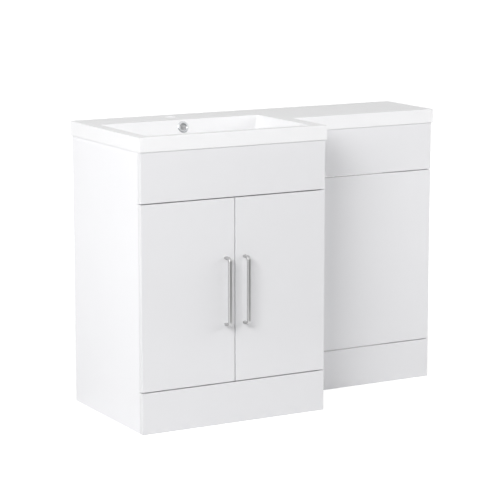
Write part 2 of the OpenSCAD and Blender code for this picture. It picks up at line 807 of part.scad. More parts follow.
// Cup with two screw ears on the door's inner face and two lugs for the short link's pin
module hinge_cups(side) at_hinges(side) {
    difference() {
        union() {
            translate([cup_in, -cup_depth, 0]) rod_y(cup_d / 2 - run_fit, cup_depth);
            for (s = [-1, 1]) translate([ear_u - 7, 0, s > 0 ? 13 : -13 - ear_h])
                cube([ear_w, ear_t, ear_h]);
        }
        translate([cup_in, -cup_depth + cup_wall, 0]) rod_y(cup_d / 2 - cup_wall, cup_depth + 2);
        for (s = [-1, 1]) translate([ear_u, -1, s * ear_z]) rod_y(screw_r + run_fit, 4);
        translate([door_long[0], door_long[1], -stub_z]) cylinder(r = pin_r, h = 2 * stub_z);
    }
    lug_low = -cup_depth + cup_wall - 0.1;
    layer_pair(cheek_in, cheek_out) difference() {
        union() {
            translate([door_short[0] - 2, lug_low]) square([4, door_short[1] - lug_low]);
            at_point(door_short) circle(r = 2);
        }
        at_point(door_short) circle(r = pin_r);
    }
}

// One pin through the lugs, and two stubs from the cup's wall for the long link
module cup_pins(side) at_hinges(side) {
    translate([door_short[0], door_short[1], -cheek_out]) cylinder(r = pin_r, h = 2 * cheek_out);
    for (s = [0, 1]) mirror([0, 0, s]) translate([door_long[0], door_long[1], long_in - 0.2])
        cylinder(r = pin_r, h = stub_z - long_in + 0.2);
}

module cup_screw_spots(side, r) at_hinges(side) for (s = [-1, 1])
    translate([ear_u, -cup_depth, s * ear_z]) rod_y(r, cup_depth + 1);

module cup_screws(side) at_hinges(side) for (s = [-1, 1])
    translate([ear_u, ear_t, s * ear_z]) rotate([90, 0, 0]) screw(cup_depth);

module left_hinge_cups() piece(steel) hinge_cups(-1);
module right_hinge_cups() piece(steel) hinge_cups(1);
module left_cup_pins() piece(dark_steel) cup_pins(-1);
module right_cup_pins() piece(dark_steel) cup_pins(1);
module left_cup_screws() piece(dark_steel) cup_screws(-1);
module right_cup_screws() piece(dark_steel) cup_screws(1);

// Plate screwed flat on the gable
module hinge_plates() piece(steel) for (side = [-1, 1]) at_hinges(side) difference() {
    union() {
        translate([board, plate_v - plate_wing / 2, -plate_hole - 6])
            cube([plate_t, plate_wing, 2 * plate_hole + 12]);
        translate([board, plate_v - 12, -arm_w / 2]) cube([plate_t + plate_rise, 44, arm_w]);
    }
    for (s = [-1, 1]) translate([board - 1, plate_v, s * plate_hole]) rod_x(screw_r + run_fit, 6);
}

module hinge_plate_screws() piece(dark_steel) for (side = [-1, 1]) at_hinges(side) for (s = [-1, 1])
    translate([board + plate_t, plate_v, s * plate_hole]) rotate([0, -90, 0]) screw(plate_t + 12);

// Arm on the plate, with two cheeks that reach forward to the link pins
arm_foot = board + plate_t + plate_rise;
arm_back_v = 70;

module arm_outline() {
    difference() {
        union() {
            polygon([[arm_short[0] - 2.4, arm_short[1]], [arm_foot, 28], [arm_foot, arm_back_v],
                [arm_foot + arm_t, arm_back_v], [arm_foot + arm_t, plate_v - 1],
                [arm_long[0] + 2.4, arm_long[1] + 1],
                [arm_long[0], arm_long[1] - 2.6], [arm_short[0], arm_short[1] - 2.3]]);
            at_point(arm_short) circle(r = 2.5);
            at_point(arm_long) circle(r = 2.8);
        }
        at_point(arm_short) circle(r = arm_pin_r);
        at_point(arm_long) circle(r = arm_pin_r);
    }
}

module hinge_arms() piece(steel) for (side = [-1, 1]) at_hinges(side) {
    layer_pair(cheek_in, cheek_out) arm_outline();
    intersection() {
        translate([0, 0, -cheek_in - 0.1]) linear_extrude(2 * cheek_in + 0.2) arm_outline();
        translate([arm_foot - 1, 18, -10]) cube([40, 60, 20]);
    }
    translate([arm_foot, plate_v - 8, -arm_w / 2]) cube([arm_t, arm_back_v - plate_v + 8, arm_w]);
}

module hinge_arm_pins() piece(dark_steel) for (side = [-1, 1]) at_hinges(side) {
    translate([arm_short[0], arm_short[1], -cheek_out]) cylinder(r = arm_pin_r, h = 2 * cheek_out);
    translate([arm_long[0], arm_long[1], -long_out]) cylinder(r = arm_pin_r, h = 2 * long_out);
}

// ---------- output ----------

basin_top();
overflow_ring();
waste_body();
waste_seal();
waste_lower_seal();
waste_nut();
waste_plug();
basin_left_gable();
basin_right_gable();
basin_base();
basin_front_rail();
basin_back_rail_top();
basin_back_rail_bottom();
shelf();
shelf_pegs();
basin_fascia();
basin_plinth();
cistern_left_gable();
cistern_right_gable();
cistern_front_rail();
cistern_back_rail_top();
cistern_back_rail_bottom();
cistern_fascia();
access_panel();
cistern_plinth();
panel_sockets();
panel_socket_screws();
panel_studs();
cam_discs();
cam_bolts();
wood_dowels();
front_packers();
front_screws();
plinth_blocks();
block_screws();
cabinet_connectors();
left_door();
right_door();
left_handle();
right_handle();
left_handle_screws();
right_handle_screws();
left_door_buffers();
right_door_buffers();
hinge_plates();
hinge_plate_screws();
hinge_arms();
hinge_arm_pins();
left_hinge_cups();
right_hinge_cups();
left_cup_screws();
right_cup_screws();
left_cup_pins();
right_cup_pins();
left_short_links();
right_short_links();
left_long_links();
right_long_links();
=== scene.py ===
# %% [markdown]
# # A basin and toilet combination unit, finished for the camera
#
# This lesson gives a finished look to a bathroom unit: a two-door basin cabinet, a shallower
# cabinet that hides a cistern, and one L-shaped cast basin top over both. The construction already
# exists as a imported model, which is loaded here as a fixed frame. We keep each piece whose true
# shape is already there, give it a procedural material, and model again the pieces whose looks live
# in soft edges and small forms: the cast top, the bent handles, the turned waste and the screws.
#
# All lengths are in metres. x runs along the front, y towards the wall and z up from the floor.

import json
import math

import bmesh
import bpy
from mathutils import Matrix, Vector

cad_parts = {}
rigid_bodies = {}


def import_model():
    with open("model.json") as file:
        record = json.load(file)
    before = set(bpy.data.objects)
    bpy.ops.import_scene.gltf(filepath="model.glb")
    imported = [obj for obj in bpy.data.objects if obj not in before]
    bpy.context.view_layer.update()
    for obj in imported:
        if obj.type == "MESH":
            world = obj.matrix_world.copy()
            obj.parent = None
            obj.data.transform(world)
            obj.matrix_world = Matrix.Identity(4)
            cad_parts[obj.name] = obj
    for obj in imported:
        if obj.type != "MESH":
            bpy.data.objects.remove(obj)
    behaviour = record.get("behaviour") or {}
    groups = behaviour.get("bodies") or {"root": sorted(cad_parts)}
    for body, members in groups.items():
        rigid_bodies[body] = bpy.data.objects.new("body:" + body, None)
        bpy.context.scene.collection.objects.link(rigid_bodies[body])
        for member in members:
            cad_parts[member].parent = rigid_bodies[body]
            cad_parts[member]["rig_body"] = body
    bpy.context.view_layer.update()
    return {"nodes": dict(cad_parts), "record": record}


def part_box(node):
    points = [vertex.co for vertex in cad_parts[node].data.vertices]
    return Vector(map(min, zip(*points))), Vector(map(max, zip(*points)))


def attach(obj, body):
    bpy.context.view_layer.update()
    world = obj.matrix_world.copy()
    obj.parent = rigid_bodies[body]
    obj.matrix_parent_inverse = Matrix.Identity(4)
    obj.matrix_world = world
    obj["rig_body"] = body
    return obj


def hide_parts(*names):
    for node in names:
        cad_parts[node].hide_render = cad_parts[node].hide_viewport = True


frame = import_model()

# %% [markdown]
# ## Sizes
#
# A node's box gives where it is, so most places are read from the frame: the length of the top, the
# step between its deep and its shallow part, the fronts of both cabinets. Only what a box can't
# tell, such as the width of the flat ledges round the bowl, is written here.

# %% Places from the frame, and the sizes that a box can't give
MM = 0.001

top_lo, top_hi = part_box("basin_top")
front_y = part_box("basin_fascia")[0].y
step_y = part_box("cistern_fascia")[0].y - (front_y - top_lo.y)
step_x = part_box("basin_right_gable")[1].x + (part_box("basin_left_gable")[0].x - top_lo.x)
rim_z = top_hi.z
mid_x = (top_lo.x + step_x) / 2

ledge_front, ledge_back, ledge_left, ledge_right = 28 * MM, 130 * MM, 35 * MM, 43 * MM
bowl_depth, bowl_lean = 115 * MM, 18 * MM
corner_r, floor_r = 12 * MM, 25 * MM
wall_t, deck_t, skirt_h = 10 * MM, 18 * MM, 42 * MM

bowl_lo = Vector((top_lo.x + ledge_left, top_lo.y + ledge_front, rim_z - bowl_depth))
bowl_hi = Vector((step_x - ledge_right, top_hi.y - ledge_back, rim_z))
bowl_mid = (bowl_lo + bowl_hi) / 2
bowl_size = bowl_hi - bowl_lo
wall_tilt = math.atan((bowl_lean + floor_r) / (bowl_depth - floor_r)) - math.asin(
    floor_r / math.hypot(bowl_lean + floor_r, bowl_depth - floor_r))
print("the bowl measures", [round(s / MM) for s in bowl_size], "mm")
print("its walls lean", round(math.degrees(wall_tilt), 1), "degrees")

# %% [markdown]
# ## The camera
#
# The photograph was taken from the left, a little above the top, with a long lens. The place, the
# two angles and the focal length come from lining up straight edges of the unit, whose real sizes
# are known, with the same edges in the picture. The lens isn't shifted, so that every other view
# of the model stays centred too.

# %% Camera at the photograph's viewing angle
SENSOR = 36.0
PHOTO_SIDE_PX = 500
FOCAL_PX = 2079.3
CAMERA_PLACE = (-3.0245, -5.280, 1.549)
CAMERA_YAW, CAMERA_PITCH = 29.106, 10.266

camera_data = bpy.data.cameras.new("photo_camera")
camera_data.sensor_width = SENSOR
camera_data.lens = FOCAL_PX / PHOTO_SIDE_PX * SENSOR
camera = bpy.data.objects.new("photo_camera", camera_data)
bpy.context.scene.collection.objects.link(camera)
camera.location = CAMERA_PLACE
camera.rotation_euler = (math.radians(90 - CAMERA_PITCH), 0, math.radians(-CAMERA_YAW))
bpy.context.scene.camera = camera
print("the lens is", round(camera_data.lens, 1), "mm long")

# %% [markdown]
# ## Colours and nodes
#
# Colours are written as on a paint chart, in sRGB hex, and one function turns them into the linear
# values that Blender computes with. A second function adds a shader node with its settings and its
# links in one call, so that each material reads from top to bottom like a recipe. Nearly all of a
# noise texture's values lie between 0.3 and 0.7, so that is the range that gets spread over a
# material's least and greatest roughness.

# %% One function for colours, one for nodes, one for a new material
NOISE_SPREAD = {"From Min": 0.3, "From Max": 0.7}


def linear(hex_colour):
    """An sRGB hex colour as linear red, green and blue, with alpha 1."""
    parts = [int(hex_colour[i:i + 2], 16) / 255 for i in (1, 3, 5)]
    return [p / 12.92 if p <= 0.04045 else ((p + 0.055) / 1.055) ** 2.4 for p in parts] + [1.0]


def add(material, kind, inputs, output=0, **settings):
    """Adds a node and returns one of its outputs. An input is a number, a colour, or the output
    of another node, which is linked."""
    node = material.node_tree.nodes.new("ShaderNode" + kind)
    for name, value in settings.items():
        setattr(node, name, value)
    for name, value in inputs.items():
        if isinstance(value, bpy.types.NodeSocket):
            material.node_tree.links.new(value, node.inputs[name])
        else:
            node.inputs[name].default_value = value
    return node.outputs[output] if node.outputs else node


def new_material(name):
    """An empty material, and the object coordinates that its patterns are laid out in."""
    material = bpy.data.materials.new(name)
    material.use_nodes = True
    material.node_tree.nodes.clear()
    return material, add(material, "TexCoord", {}, output="Object")


# %% [markdown]
# ## Cast marble for the basin top
#
# The top is stone powder cast in polyester resin, with a clear-white gelcoat sprayed into the mould
# first. To the eye that is a thin, slightly softened reflection over a cloudy body, whose shade
# changes only over a hand's width, and a surface that ripples very slightly.

# %% Gelcoated cast marble
cast_marble, place = new_material("gelcoated_cast_marble")
clouds = add(cast_marble, "TexNoise", {"Vector": place, "Scale": 1 / (140 * MM), "Detail": 3},
             "Fac")
shade = add(cast_marble, "Mix", {"Factor": clouds, "A": linear("#F5F5F6"), "B": linear("#F7F7F8")},
            "Result", data_type="RGBA")
polish = add(cast_marble, "TexNoise", {"Vector": place, "Scale": 1 / (30 * MM), "Detail": 1}, "Fac")
gloss = add(cast_marble, "MapRange", {**NOISE_SPREAD, "Value": polish,
                                      "To Min": 0.28, "To Max": 0.31}, "Result")
ripple = add(cast_marble, "TexNoise", {"Vector": place, "Scale": 1 / (45 * MM), "Detail": 1}, "Fac")
waves = add(cast_marble, "Bump", {"Height": ripple, "Distance": 0.05 * MM}, "Normal")
skin = add(cast_marble, "BsdfPrincipled", {
    "Base Color": shade, "Roughness": gloss, "Normal": waves, "IOR": 1.45})
add(cast_marble, "OutputMaterial", {"Surface": skin})
print(cast_marble.name, "has", len(cast_marble.node_tree.nodes), "nodes")

# %% [markdown]
# ## Gloss foil for the fronts
#
# Doors, fascias, plinths and the access panel are MDF with a gloss foil pressed on. It is greyer
# than the gelcoat, with a faint clear coat, and shows the orange-peel of the fibres under the foil,
# dents only microns high and 2 to 4 mm wide.

# %% Gloss foil pressed on MDF
gloss_foil, place = new_material("gloss_foil_on_mdf")
batch = add(gloss_foil, "TexNoise", {"Vector": place, "Scale": 1 / (220 * MM), "Detail": 1}, "Fac")
shade = add(gloss_foil, "Mix", {"Factor": batch, "A": linear("#E9E9EB"), "B": linear("#EBEBED")},
            "Result", data_type="RGBA")
wiping = add(gloss_foil, "TexNoise", {"Vector": place, "Scale": 1 / (60 * MM), "Detail": 1}, "Fac")
gloss = add(gloss_foil, "MapRange", {**NOISE_SPREAD, "Value": wiping,
                                     "To Min": 0.28, "To Max": 0.31}, "Result")
peel = add(gloss_foil, "TexNoise", {"Vector": place, "Scale": 1 / (3.5 * MM), "Detail": 1}, "Fac")
dents = add(gloss_foil, "Bump", {"Height": peel, "Distance": 0.015 * MM}, "Normal")
skin = add(gloss_foil, "BsdfPrincipled", {
    "Base Color": shade, "Roughness": gloss, "Normal": dents, "IOR": 1.46,
    "Coat Weight": 0.15, "Coat Roughness": 0.1})
add(gloss_foil, "OutputMaterial", {"Surface": skin})
print(gloss_foil.name, "has", len(gloss_foil.node_tree.nodes), "nodes")

# %% [markdown]
# ## Melamine for the carcass
#
# Gables, base, shelf and rails are chipboard with a white melamine face, printed paper pressed
# under a textured plate. The plate leaves a pearl of fine pits that spreads reflections, so this
# white is the least glossy of the three.

# %% Melamine-faced board
melamine, place = new_material("melamine_faced_board")
batch = add(melamine, "TexNoise", {"Vector": place, "Scale": 1 / (180 * MM), "Detail": 1}, "Fac")
shade = add(melamine, "Mix", {"Factor": batch, "A": linear("#F5F5F7"), "B": linear("#F7F7F9")},
            "Result", data_type="RGBA")
wear = add(melamine, "TexNoise", {"Vector": place, "Scale": 1 / (25 * MM), "Detail": 1}, "Fac")
gloss = add(melamine, "MapRange", {**NOISE_SPREAD, "Value": wear,
                                   "To Min": 0.41, "To Max": 0.46}, "Result")
# the real pits are 0.3 mm apart, and are drawn at 1.2 mm so that they show at all
pits = add(melamine, "TexNoise", {"Vector": place, "Scale": 1 / (1.2 * MM), "Detail": 2}, "Fac")
pearl = add(melamine, "Bump", {"Height": pits, "Distance": 0.03 * MM}, "Normal")
skin = add(melamine, "BsdfPrincipled", {
    "Base Color": shade, "Roughness": gloss, "Normal": pearl, "IOR": 1.5})
add(melamine, "OutputMaterial", {"Surface": skin})
print(melamine.name, "has", len(melamine.node_tree.nodes), "nodes")

# %% [markdown]
# ## Metals
#
# A metal has no colour besides the tint of its reflection, so the work is in its roughness. The
# handles are zinc, plated with nickel and brushed along their length, which smears highlights into
# lines. The waste and the overflow ring are chromed and show only wiping marks. Screws, cams and
# hinges have a thin zinc plate that is patchy over a few millimetres.

# %% Brushed nickel plate
brushed_nickel, place = new_material("brushed_nickel_plate")
# real brush lines are 0.05 mm apart, and are drawn at 0.5 mm so that they show
along_bar = add(brushed_nickel, "Mapping", {"Vector": place, "Scale": (1, 1, 1 / 60)})
lines = add(brushed_nickel, "TexNoise", {"Vector": along_bar, "Scale": 1 / (0.5 * MM), "Detail": 2},
            "Fac")
tone = add(brushed_nickel, "Mix", {"Factor": lines, "A": linear("#BABABA"), "B": linear("#CCCCCC")},
           "Result", data_type="RGBA")
satin = add(brushed_nickel, "MapRange", {**NOISE_SPREAD, "Value": lines,
                                         "To Min": 0.3, "To Max": 0.44}, "Result")
scratches = add(brushed_nickel, "Bump", {"Height": lines, "Distance": 0.01 * MM}, "Normal")
skin = add(brushed_nickel, "BsdfPrincipled", {
    "Base Color": tone, "Roughness": satin, "Normal": scratches, "Metallic": 1.0,
    "Anisotropic": 0.3})
add(brushed_nickel, "OutputMaterial", {"Surface": skin})
print(brushed_nickel.name, "has", len(brushed_nickel.node_tree.nodes), "nodes")

# %% Chrome plate and zinc plate
chrome, place = new_material("chrome_plate")
smears = add(chrome, "TexNoise", {"Vector": place, "Scale": 1 / (6 * MM), "Detail": 3}, "Fac")
tone = add(chrome, "Mix", {"Factor": smears, "A": linear("#D8DADC"), "B": linear("#E2E4E6")},
           "Result", data_type="RGBA")
polish = add(chrome, "MapRange", {**NOISE_SPREAD, "Value": smears,
                                  "To Min": 0.05, "To Max": 0.13}, "Result")
skin = add(chrome, "BsdfPrincipled", {"Base Color": tone, "Roughness": polish, "Metallic": 1.0})
add(chrome, "OutputMaterial", {"Surface": skin})

zinc_plate, place = new_material("zinc_plated_steel")
patches = add(zinc_plate, "TexNoise", {"Vector": place, "Scale": 1 / (5 * MM), "Detail": 4}, "Fac")
tone = add(zinc_plate, "Mix", {"Factor": patches, "A": linear("#AEB0B2"), "B": linear("#C6C7C9")},
           "Result", data_type="RGBA")
satin = add(zinc_plate, "MapRange", {**NOISE_SPREAD, "Value": patches,
                                     "To Min": 0.29, "To Max": 0.45}, "Result")
grit = add(zinc_plate, "TexNoise", {"Vector": place, "Scale": 1 / (0.8 * MM), "Detail": 2}, "Fac")
pickled = add(zinc_plate, "Bump", {"Height": grit, "Distance": 0.01 * MM}, "Normal")
skin = add(zinc_plate, "BsdfPrincipled", {
    "Base Color": tone, "Roughness": satin, "Normal": pickled, "Metallic": 1.0})
add(zinc_plate, "OutputMaterial", {"Surface": skin})
print(chrome.name, "and", zinc_plate.name, "made")

# %% [markdown]
# ## Rubber, nylon and beech
#
# The seals and door buffers are moulded rubber, matt with a dusty bloom. The corner blocks, clips
# and packers are moulded nylon, whose satin comes from a spark-eroded mould. The dowels are beech,
# with growth bands that run along each dowel.

# %% Rubber and nylon
rubber, place = new_material("moulded_rubber")
bloom = add(rubber, "TexNoise", {"Vector": place, "Scale": 1 / (4 * MM), "Detail": 3}, "Fac")
tone = add(rubber, "Mix", {"Factor": bloom, "A": linear("#B0B0AF"), "B": linear("#C2C2C1")},
           "Result", data_type="RGBA")
matt = add(rubber, "MapRange", {**NOISE_SPREAD, "Value": bloom,
                                "To Min": 0.7, "To Max": 0.88}, "Result")
skin = add(rubber, "BsdfPrincipled", {"Base Color": tone, "Roughness": matt, "IOR": 1.52})
add(rubber, "OutputMaterial", {"Surface": skin})

nylon, place = new_material("moulded_nylon")
flow = add(nylon, "TexNoise", {"Vector": place, "Scale": 1 / (8 * MM), "Detail": 2}, "Fac")
tone = add(nylon, "Mix", {"Factor": flow, "A": linear("#D8D8D4"), "B": linear("#E2E2DF")},
           "Result", data_type="RGBA")
spark = add(nylon, "TexNoise", {"Vector": place, "Scale": 1 / (0.6 * MM), "Detail": 2}, "Fac")
satin = add(nylon, "MapRange", {**NOISE_SPREAD, "Value": spark,
                                "To Min": 0.4, "To Max": 0.52}, "Result")
eroded = add(nylon, "Bump", {"Height": spark, "Distance": 0.01 * MM}, "Normal")
skin = add(nylon, "BsdfPrincipled", {
    "Base Color": tone, "Roughness": satin, "Normal": eroded, "IOR": 1.53})
add(nylon, "OutputMaterial", {"Surface": skin})
print(rubber.name, "and", nylon.name, "made")

# %% Beech
beech, place = new_material("turned_beech")
along_dowel = add(beech, "Mapping", {"Vector": place, "Scale": (1 / 20, 1, 1)})
bands = add(beech, "TexNoise", {"Vector": along_dowel, "Scale": 1 / (1.5 * MM), "Detail": 3}, "Fac")
tone = add(beech, "Mix", {"Factor": bands, "A": linear("#C7A379"), "B": linear("#DEC19A")},
           "Result", data_type="RGBA")
sawn = add(beech, "MapRange", {**NOISE_SPREAD, "Value": bands,
                               "To Min": 0.5, "To Max": 0.66}, "Result")
pores = add(beech, "Bump", {"Height": bands, "Distance": 0.02 * MM}, "Normal")
skin = add(beech, "BsdfPrincipled", {
    "Base Color": tone, "Roughness": sawn, "Normal": pores, "IOR": 1.5})
add(beech, "OutputMaterial", {"Surface": skin})
print(beech.name, "made")

# %% [markdown]
# ## Painting the frame's own pieces
#
# The record gives each node a material slot, so one table from slot to material paints them all.
# The nodes keep their shape and place: only what sits in their material slots changes.

# %% One material for each slot of the record
FINISHES = {
    "cast_basin": cast_marble, "gloss_front": gloss_foil, "white_board": melamine,
    "handle_metal": brushed_nickel, "bright_chrome": chrome, "plated_steel": zinc_plate,
    "seal_rubber": rubber, "fitting_plastic": nylon, "beech": beech,
}
slot_of = {part["node"]: part["material_slot"] for part in frame["record"]["subparts"]}
for name, node in frame["nodes"].items():
    node.data.materials.clear()
    node.data.materials.append(FINISHES[slot_of[name]])
print("painted", len(slot_of), "nodes in", len(FINISHES), "finishes")

# %% [markdown]
# ## Working by hand, in code
#
# Each new piece starts from a primitive and is shaped in edit mode. An operator acts on whatever is
# selected, so every step first picks its faces, edges or points by where they are. These helpers
# do the picking, as a modeller does by clicking.

# %% Selecting
def deselect():
    if bpy.context.mode != "OBJECT":
        bpy.ops.object.mode_set(mode="OBJECT")
    bpy.ops.object.select_all(action="DESELECT")


def make_active(piece):
    deselect()
    piece.select_set(True)
    bpy.context.view_layer.objects.active = piece


def edit(piece):
    make_active(piece)
    bpy.ops.object.mode_set(mode="EDIT")
    bpy.ops.mesh.select_all(action="DESELECT")


def middle(element):
    """The middle of a face or an edge."""
    return sum((v.co for v in element.verts), Vector()) / len(element.verts)


def near(a, b, margin=0.02 * MM):
    return abs(a - b) < margin


def pick(piece, kind, test):
    """Selects the faces or edges of the edited piece that pass the test, and says how many."""
    bpy.ops.mesh.select_mode(type=kind)
    bpy.ops.mesh.select_all(action="DESELECT")
    mesh = bmesh.from_edit_mesh(piece.data)
    chosen = [e for e in (mesh.faces if kind == "FACE" else mesh.edges) if test(e)]
    for element in chosen:
        element.select_set(True)
    mesh.select_flush_mode()
    bmesh.update_edit_mesh(piece.data)
    return len(chosen)


# %% Adding, moving and cleaning
def settle():
    """Writes the place, turn and size of the selected object into its mesh."""
    bpy.ops.object.transform_apply(location=True, rotation=True, scale=True)


def add_sheet(name, lo, hi, z):
    """A flat sheet between two corners, each an x and a y, at the height z."""
    deselect()
    bpy.ops.mesh.primitive_plane_add(size=1, location=((lo[0] + hi[0]) / 2, (lo[1] + hi[1]) / 2, z))
    sheet = bpy.context.object
    sheet.name = sheet.data.name = name
    sheet.scale = (hi[0] - lo[0], hi[1] - lo[1], 1)
    settle()
    return sheet


def move(x=0.0, y=0.0, z=0.0):
    bpy.ops.transform.translate(value=(x, y, z))


def extrude(x=0.0, y=0.0, z=0.0):
    bpy.ops.mesh.extrude_region_move(TRANSFORM_OT_translate={"value": (x, y, z)})


def round_off(offset, segments):
    """Bevels the selected edges, whose round starts that far from them on both sides."""
    bpy.ops.mesh.bevel(offset_type="OFFSET", offset=offset, segments=segments, profile=0.5,
                       affect="EDGES", clamp_overlap=False)


def weld():
    """Merges the edited piece's doubled points and turns its faces outwards."""
    bpy.ops.mesh.select_all(action="SELECT")
    bpy.ops.mesh.remove_doubles(threshold=1e-6)
    bpy.ops.mesh.normals_make_consistent(inside=False)


# %% [markdown]
# ## The cast top, step 1: the bowl
#
# The bowl is a tub whose rim is a crisp rectangle, while its upright corners open out on the way
# down to a soft cove above the floor. By hand it grows from two outlines, a sharp one at the rim
# and a rounder, smaller one at the floor, with a wall bridged between them. The floor's edge is
# bevelled last, and since its corners are already round, the bevel stays an even band.

# %% Outlines and joining
def rounded_outline(name, lo, hi, z, radius):
    """A rectangle of edges without a face, whose corners are round."""
    outline = add_sheet(name, lo, hi, z)
    edit(outline)
    bpy.ops.mesh.select_mode(type="VERT")
    bpy.ops.mesh.select_all(action="SELECT")
    bpy.ops.mesh.bevel(offset=radius, segments=12, profile=0.5, affect="VERTICES")
    bpy.ops.mesh.select_all(action="SELECT")
    bpy.ops.mesh.delete(type="ONLY_FACE")
    deselect()
    return outline


def join(pieces, name):
    """One piece of several, which takes the first one's place."""
    deselect()
    for piece in pieces:
        piece.select_set(True)
    bpy.context.view_layer.objects.active = pieces[0]
    bpy.ops.object.join()
    pieces[0].name = pieces[0].data.name = name
    return pieces[0]


# %% Bowl between two outlines
FLANGE = 12 * MM

drawn_in = Vector((1, 1, 0)) * bowl_depth * math.tan(wall_tilt)
straight_share = 1 - floor_r * (1 - math.sin(wall_tilt)) / bowl_depth
low_corner_r = corner_r + (floor_r * math.cos(wall_tilt) - corner_r) / straight_share
bowl = join([
    rounded_outline("rim", bowl_lo.xy, bowl_hi.xy, rim_z, corner_r),
    rounded_outline("bottom", (bowl_lo + drawn_in).xy, (bowl_hi - drawn_in).xy, bowl_lo.z,
                    low_corner_r)], "cast_basin_top")
edit(bowl)
bpy.ops.mesh.select_all(action="SELECT")
bpy.ops.mesh.bridge_edge_loops()
pick(bowl, "EDGE", lambda e: near(middle(e).z, bowl_lo.z))
bpy.ops.mesh.edge_face_add()
pick(bowl, "EDGE", lambda e: near(middle(e).z, bowl_lo.z))
round_off(floor_r * math.tan((math.pi / 2 - wall_tilt) / 2), segments=9)
print("the corners grow from", round(corner_r / MM), "to", round(low_corner_r / MM, 1), "mm")
print("edges round the rim:", pick(bowl, "EDGE", lambda e: e.is_boundary))
bpy.ops.mesh.extrude_edges_move()
bpy.ops.transform.resize(
    value=(1 + 2 * FLANGE / bowl_size.x, 1 + 2 * FLANGE / bowl_size.y, 1),
    center_override=(bowl_mid.x, bowl_mid.y, rim_z))

# %% [markdown]
# ## The cast top, step 2: the L-shaped deck
#
# The deck is drawn as a sheet over the basin cabinet, cut where the step is, with the part behind
# the step pulled out over the cistern cabinet. An inset leaves a narrow border, whose outer edge
# turns down into the skirt. The flat field between border and bowl is filled in last.

# %% Deck, border and skirt
BORDER = 12 * MM


def on_outline(spot, margin=0.02 * MM):
    """True on the outer outline of the L."""
    return (near(spot.x, top_lo.x, margin) or near(spot.x, top_hi.x, margin)
            or near(spot.y, top_lo.y, margin) or near(spot.y, top_hi.y, margin)
            or (near(spot.x, step_x, margin) and spot.y < step_y + margin)
            or (near(spot.y, step_y, margin) and spot.x > step_x - margin))


deck = add_sheet("deck", top_lo.xy, (step_x, top_hi.y), rim_z)
edit(deck)
bpy.ops.mesh.select_all(action="SELECT")
bpy.ops.mesh.bisect(plane_co=(0, step_y, 0), plane_no=(0, 1, 0))
pick(deck, "EDGE", lambda e: near(middle(e).x, step_x) and middle(e).y > step_y)
bpy.ops.mesh.extrude_edges_move(TRANSFORM_OT_translate={"value": (top_hi.x - step_x, 0, 0)})
bpy.ops.mesh.select_all(action="SELECT")
bpy.ops.mesh.dissolve_limited(angle_limit=math.radians(1))
pick(deck, "FACE", lambda f: True)
bpy.ops.mesh.inset(thickness=BORDER, use_even_offset=True)
bpy.ops.mesh.delete(type="FACE")
print("outer edges of the deck:", pick(deck, "EDGE", lambda e: on_outline(middle(e))))
bpy.ops.mesh.extrude_edges_move(TRANSFORM_OT_translate={"value": (0, 0, -skirt_h)})

# %% Joining the bowl and the deck
join([bowl, deck], "cast_basin_top")
edit(bowl)
print("edges round the open field:",
      pick(bowl, "EDGE", lambda e: e.is_boundary and near(middle(e).z, rim_z)))
bpy.ops.mesh.fill(use_beauty=True)
bpy.ops.mesh.select_all(action="SELECT")
bpy.ops.mesh.normals_make_consistent(inside=False)
deck_normal = max(bmesh.from_edit_mesh(bowl.data).faces, key=lambda f: f.calc_area()).normal.z
if deck_normal < 0:
    bpy.ops.mesh.flip_normals()
print("the deck's normal was", round(deck_normal))

# %% [markdown]
# ## The cast top, step 3: thickness, and where it rests
#
# Solidify turns the skin into a 10 mm casting. A real top is thicker where it carries something:
# 18 mm under the tap, and a broad foot all round that stands on the cabinets' edges. Pushing the
# inner faces of the skirt and the underside of the deck into the void gives both.

# %% Thickness, a thicker deck and a broad foot
FOOT_SIDE, FOOT_FRONT, FOOT_BACK = 21 * MM, 16 * MM, 16 * MM


def apply_modifier(piece, kind, **settings):
    make_active(piece)
    modifier = piece.modifiers.new(kind.lower(), kind)
    for name, value in settings.items():
        setattr(modifier, name, value)
    bpy.ops.object.modifier_apply(modifier=modifier.name)


apply_modifier(bowl, "SOLIDIFY", thickness=wall_t, offset=-1, use_even_offset=True, use_rim=True)
edit(bowl)
pick(bowl, "FACE", lambda f: f.normal.z < -0.99 and near(middle(f).z, rim_z - wall_t))
move(z=wall_t - deck_t)
inner_walls = [
    (Vector((1, 0, 0)), top_lo.x + wall_t, FOOT_SIDE),
    (Vector((-1, 0, 0)), step_x - wall_t, FOOT_SIDE),
    (Vector((-1, 0, 0)), top_hi.x - wall_t, FOOT_SIDE),
    (Vector((0, 1, 0)), top_lo.y + wall_t, FOOT_FRONT),
    (Vector((0, 1, 0)), step_y + wall_t, FOOT_SIDE),
    (Vector((0, -1, 0)), top_hi.y - wall_t, FOOT_BACK),
]
for normal, plane, foot in inner_walls:
    found = pick(bowl, "FACE", lambda f: f.normal.dot(normal) > 0.99
                 and near(middle(f).dot(normal), plane * sum(normal), 1 * MM)
                 and middle(f).z < rim_z - deck_t)
    move(*(normal * (foot - wall_t)))
    print("faces moved at", round(plane / MM), "mm:", found)

# %% [markdown]
# ## The cast top, step 4: soft edges
#
# A mould can't have sharp corners and a hand would find them, so the rim of the bowl and the upper
# edges of the skirt are round. The back edge stays square, because it meets the wall. One bevel
# takes the upper edges and the upright corners together, which makes ball corners where they meet.

# %% Round-overs
EDGE_R, RIM_R = 3 * MM, 2 * MM
FOOT_EDGE = 0.8 * MM


def in_bowl_mouth(spot, margin=0.5 * MM):
    return (bowl_lo.x - margin < spot.x < bowl_hi.x + margin
            and bowl_lo.y - margin < spot.y < bowl_hi.y + margin)


print("rim edges:", pick(bowl, "EDGE", lambda e: all(
    near(v.co.z, rim_z) and in_bowl_mouth(v.co) for v in e.verts)))
round_off(RIM_R * math.tan((math.pi / 2 - wall_tilt) / 2), segments=5)


